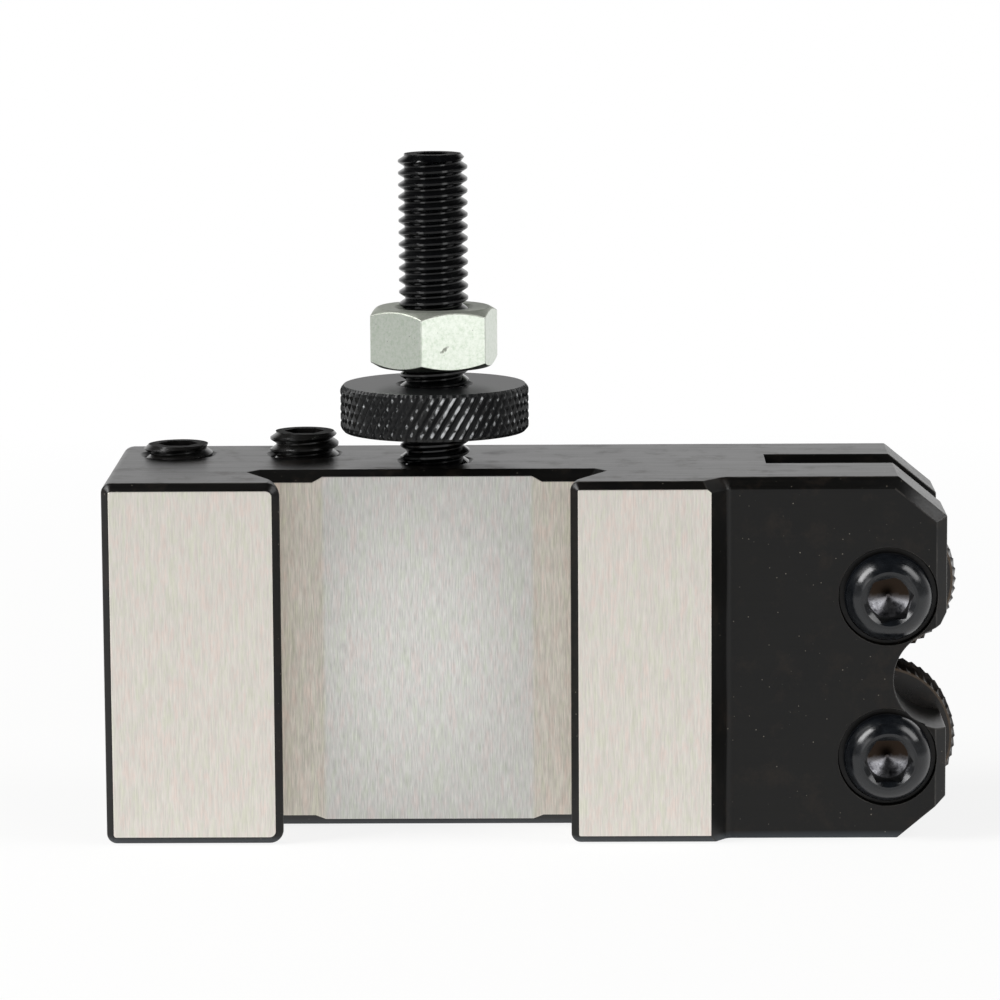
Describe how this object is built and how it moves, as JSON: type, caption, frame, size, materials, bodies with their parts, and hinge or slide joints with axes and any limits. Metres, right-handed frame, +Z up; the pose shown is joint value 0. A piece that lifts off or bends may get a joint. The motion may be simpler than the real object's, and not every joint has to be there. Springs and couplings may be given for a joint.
{
  "type": "quick change tool holder",
  "caption": "Dovetail-mounted lathe tool holder with a rear tool slot, clamping screws, a height stud with thumb and lock nuts, and a slotted head carrying knurling wheels.",
  "frame": {"origin": "on the axis of the height stud, at the base face that the holder rests on", "axes": "+X runs from the tool end to the knurling head, +Y from the dovetail to the tool slot at the rear, +Z up along the height stud"},
  "size_m": [0.1193, 0.0378, 0.0944],
  "materials": {
    "black_steel_ground": "black oxide with ground dovetail faces",
    "black_steel": "black oxide",
    "zinc_steel": "zinc plated",
    "knurl_steel": "dark hardened steel"
  },
  "bodies": {
    "holder": {"holder_body": "black_steel_ground", "height_stud": "black_steel", "upper_wheel_pin": "black_steel", "lower_wheel_pin": "black_steel"},
    "thumb_nut": {"knurled_nut": "black_steel"},
    "lock_nut": {"hex_lock_nut": "zinc_steel"},
    "left_screw": {"left_clamp_screw": "black_steel"},
    "right_screw": {"right_clamp_screw": "black_steel"},
    "upper_wheel": {"upper_knurl_wheel": "knurl_steel"},
    "lower_wheel": {"lower_knurl_wheel": "knurl_steel"}
  },
  "joints": [
    {"name": "height_adjust", "type": "slide", "parent": "holder", "child": "thumb_nut", "axis": [0, 0, 1], "range_m": [-0.0042, 0.01]},
    {"name": "lock_nut_travel", "type": "slide", "parent": "thumb_nut", "child": "lock_nut", "axis": [0, 0, 1], "range_m": [-0.0024, 0.011]},
    {"name": "left_screw_travel", "type": "slide", "parent": "holder", "child": "left_screw", "axis": [0, 0, 1], "range_m": [-0.0095, 0.002]},
    {"name": "right_screw_travel", "type": "slide", "parent": "holder", "child": "right_screw", "axis": [0, 0, 1], "range_m": [-0.0115, 0.001]},
    {"name": "upper_wheel_spin", "type": "hinge", "parent": "holder", "child": "upper_wheel", "pos_m": [0.0632, 0, 0.03415], "axis": [0, 1, 0], "continuous": true},
    {"name": "lower_wheel_spin", "type": "hinge", "parent": "holder", "child": "lower_wheel", "pos_m": [0.0632, 0, 0.01145], "axis": [0, 1, 0], "continuous": true}
  ]
}
